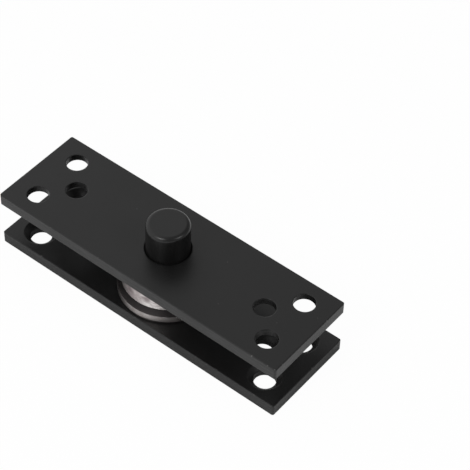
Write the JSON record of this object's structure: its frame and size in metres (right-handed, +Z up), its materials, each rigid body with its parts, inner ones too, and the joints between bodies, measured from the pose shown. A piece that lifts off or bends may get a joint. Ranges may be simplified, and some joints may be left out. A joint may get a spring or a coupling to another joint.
{
  "type": "pivot hinge",
  "caption": "Foot pivot hinge for a swing door: a floor plate and a door plate turn on a stepped pin over a tapered roller bearing, and the door plate lifts off.",
  "frame": {"origin": "on the axis of the pin, in the underside of the floor plate", "axes": "+Z up along the pin's free end, +X along the length of the plates"},
  "size_m": [0.13, 0.04, 0.0385],
  "materials": {
    "black_coating": "satin",
    "ground_steel": "polished",
    "turned_steel": "satin",
    "cage_steel": "matte"
  },
  "bodies": {
    "base": {"floor_plate": "black_coating", "pivot_pin": "black_coating", "support_washer": "turned_steel", "bearing_cone": "ground_steel"},
    "cup": {"bearing_cup": "ground_steel"},
    "door": {"door_plate": "black_coating"},
    "cage": {"roller_cage": "cage_steel"},
    "roller_01": {"roller_01": "ground_steel"},
    "roller_02": {"roller_02": "ground_steel"},
    "roller_03": {"roller_03": "ground_steel"},
    "roller_04": {"roller_04": "ground_steel"},
    "roller_05": {"roller_05": "ground_steel"},
    "roller_06": {"roller_06": "ground_steel"},
    "roller_07": {"roller_07": "ground_steel"},
    "roller_08": {"roller_08": "ground_steel"},
    "roller_09": {"roller_09": "ground_steel"},
    "roller_10": {"roller_10": "ground_steel"},
    "roller_11": {"roller_11": "ground_steel"},
    "roller_12": {"roller_12": "ground_steel"},
    "roller_13": {"roller_13": "ground_steel"},
    "roller_14": {"roller_14": "ground_steel"}
  },
  "joints": [
    {"name": "door_turn", "type": "hinge", "parent": "base", "child": "cup", "pos_m": [0, 0, 0], "axis": [0, 0, 1], "continuous": true},
    {"name": "door_lift", "type": "slide", "parent": "cup", "child": "door", "axis": [0, 0, 1], "range_m": [0, 0.02]},
    {"name": "cage_turn", "type": "hinge", "parent": "base", "child": "cage", "pos_m": [0, 0, 0], "axis": [0, 0, 1], "continuous": true},
    {"name": "roller_01_spin", "type": "hinge", "parent": "cage", "child": "roller_01", "pos_m": [0.01254, 0, 0.01463], "axis": [-0.1882, 0, 0.9821], "continuous": true},
    {"name": "roller_02_spin", "type": "hinge", "parent": "cage", "child": "roller_02", "pos_m": [0.0113, 0.00544, 0.01463], "axis": [-0.1696, -0.0817, 0.9821], "continuous": true},
    {"name": "roller_03_spin", "type": "hinge", "parent": "cage", "child": "roller_03", "pos_m": [0.00782, 0.00981, 0.01463], "axis": [-0.1174, -0.1472, 0.9821], "continuous": true},
    {"name": "roller_04_spin", "type": "hinge", "parent": "cage", "child": "roller_04", "pos_m": [0.00279, 0.01223, 0.01463], "axis": [-0.0419, -0.1835, 0.9821], "continuous": true},
    {"name": "roller_05_spin", "type": "hinge", "parent": "cage", "child": "roller_05", "pos_m": [-0.00279, 0.01223, 0.01463], "axis": [0.0419, -0.1835, 0.9821], "continuous": true},
    {"name": "roller_06_spin", "type": "hinge", "parent": "cage", "child": "roller_06", "pos_m": [-0.00782, 0.00981, 0.01463], "axis": [0.1174, -0.1472, 0.9821], "continuous": true},
    {"name": "roller_07_spin", "type": "hinge", "parent": "cage", "child": "roller_07", "pos_m": [-0.0113, 0.00544, 0.01463], "axis": [0.1696, -0.0817, 0.9821], "continuous": true},
    {"name": "roller_08_spin", "type": "hinge", "parent": "cage", "child": "roller_08", "pos_m": [-0.01254, 0, 0.01463], "axis": [0.1882, 0, 0.9821], "continuous": true},
    {"name": "roller_09_spin", "type": "hinge", "parent": "cage", "child": "roller_09", "pos_m": [-0.0113, -0.00544, 0.01463], "axis": [0.1696, 0.0817, 0.9821], "continuous": true},
    {"name": "roller_10_spin", "type": "hinge", "parent": "cage", "child": "roller_10", "pos_m": [-0.00782, -0.00981, 0.01463], "axis": [0.1174, 0.1472, 0.9821], "continuous": true},
    {"name": "roller_11_spin", "type": "hinge", "parent": "cage", "child": "roller_11", "pos_m": [-0.00279, -0.01223, 0.01463], "axis": [0.0419, 0.1835, 0.9821], "continuous": true},
    {"name": "roller_12_spin", "type": "hinge", "parent": "cage", "child": "roller_12", "pos_m": [0.00279, -0.01223, 0.01463], "axis": [-0.0419, 0.1835, 0.9821], "continuous": true},
    {"name": "roller_13_spin", "type": "hinge", "parent": "cage", "child": "roller_13", "pos_m": [0.00782, -0.00981, 0.01463], "axis": [-0.1174, 0.1472, 0.9821], "continuous": true},
    {"name": "roller_14_spin", "type": "hinge", "parent": "cage", "child": "roller_14", "pos_m": [0.0113, -0.00544, 0.01463], "axis": [-0.1696, 0.0817, 0.9821], "continuous": true}
  ],
  "couplings": [
    {"joint": "cage_turn", "follows": "door_turn", "ratio": 0.59566},
    {"joint": "roller_01_spin", "follows": "door_turn", "ratio": 2.4728},
    {"joint": "roller_02_spin", "follows": "door_turn", "ratio": 2.4728},
    {"joint": "roller_03_spin", "follows": "door_turn", "ratio": 2.4728},
    {"joint": "roller_04_spin", "follows": "door_turn", "ratio": 2.4728},
    {"joint": "roller_05_spin", "follows": "door_turn", "ratio": 2.4728},
    {"joint": "roller_06_spin", "follows": "door_turn", "ratio": 2.4728},
    {"joint": "roller_07_spin", "follows": "door_turn", "ratio": 2.4728},
    {"joint": "roller_08_spin", "follows": "door_turn", "ratio": 2.4728},
    {"joint": "roller_09_spin", "follows": "door_turn", "ratio": 2.4728},
    {"joint": "roller_10_spin", "follows": "door_turn", "ratio": 2.4728},
    {"joint": "roller_11_spin", "follows": "door_turn", "ratio": 2.4728},
    {"joint": "roller_12_spin", "follows": "door_turn", "ratio": 2.4728},
    {"joint": "roller_13_spin", "follows": "door_turn", "ratio": 2.4728},
    {"joint": "roller_14_spin", "follows": "door_turn", "ratio": 2.4728}
  ]
}
